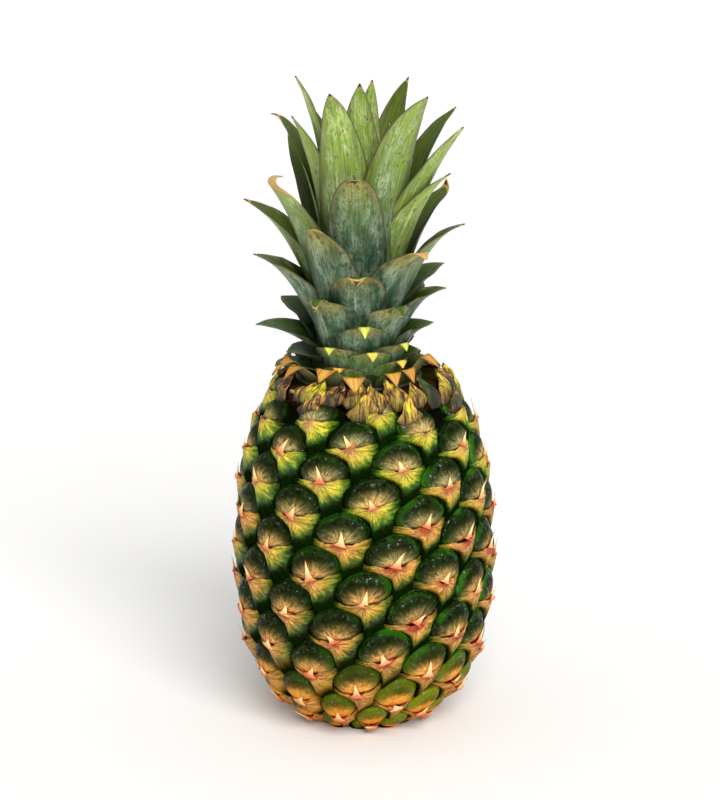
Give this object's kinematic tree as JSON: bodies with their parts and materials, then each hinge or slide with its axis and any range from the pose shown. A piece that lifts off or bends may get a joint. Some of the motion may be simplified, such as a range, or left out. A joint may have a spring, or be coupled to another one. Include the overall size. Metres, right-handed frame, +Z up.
{
  "type": "pineapple",
  "caption": "Whole ripe pineapple standing upright: barrel-shaped fruit of spiny eyes on a spiral, a collar of dry bracts and a tall leafy crown.",
  "frame": {"origin": "middle of the flat base that the fruit stands on", "axes": "+Z up along the fruit towards its crown, -Y towards the front, +X to the front's right"},
  "size_m": [0.1237, 0.1256, 0.2939],
  "materials": {
    "rind": null,
    "leaf": null,
    "dry_bract": "dry papery yellow-orange bract, matte",
    "cut_stalk": "dried fibrous cut end, matte"
  },
  "bodies": {
    "root": {"fruit": "rind", "crown": "leaf", "collar": "dry_bract", "stalk": "cut_stalk"}
  },
  "joints": []
}
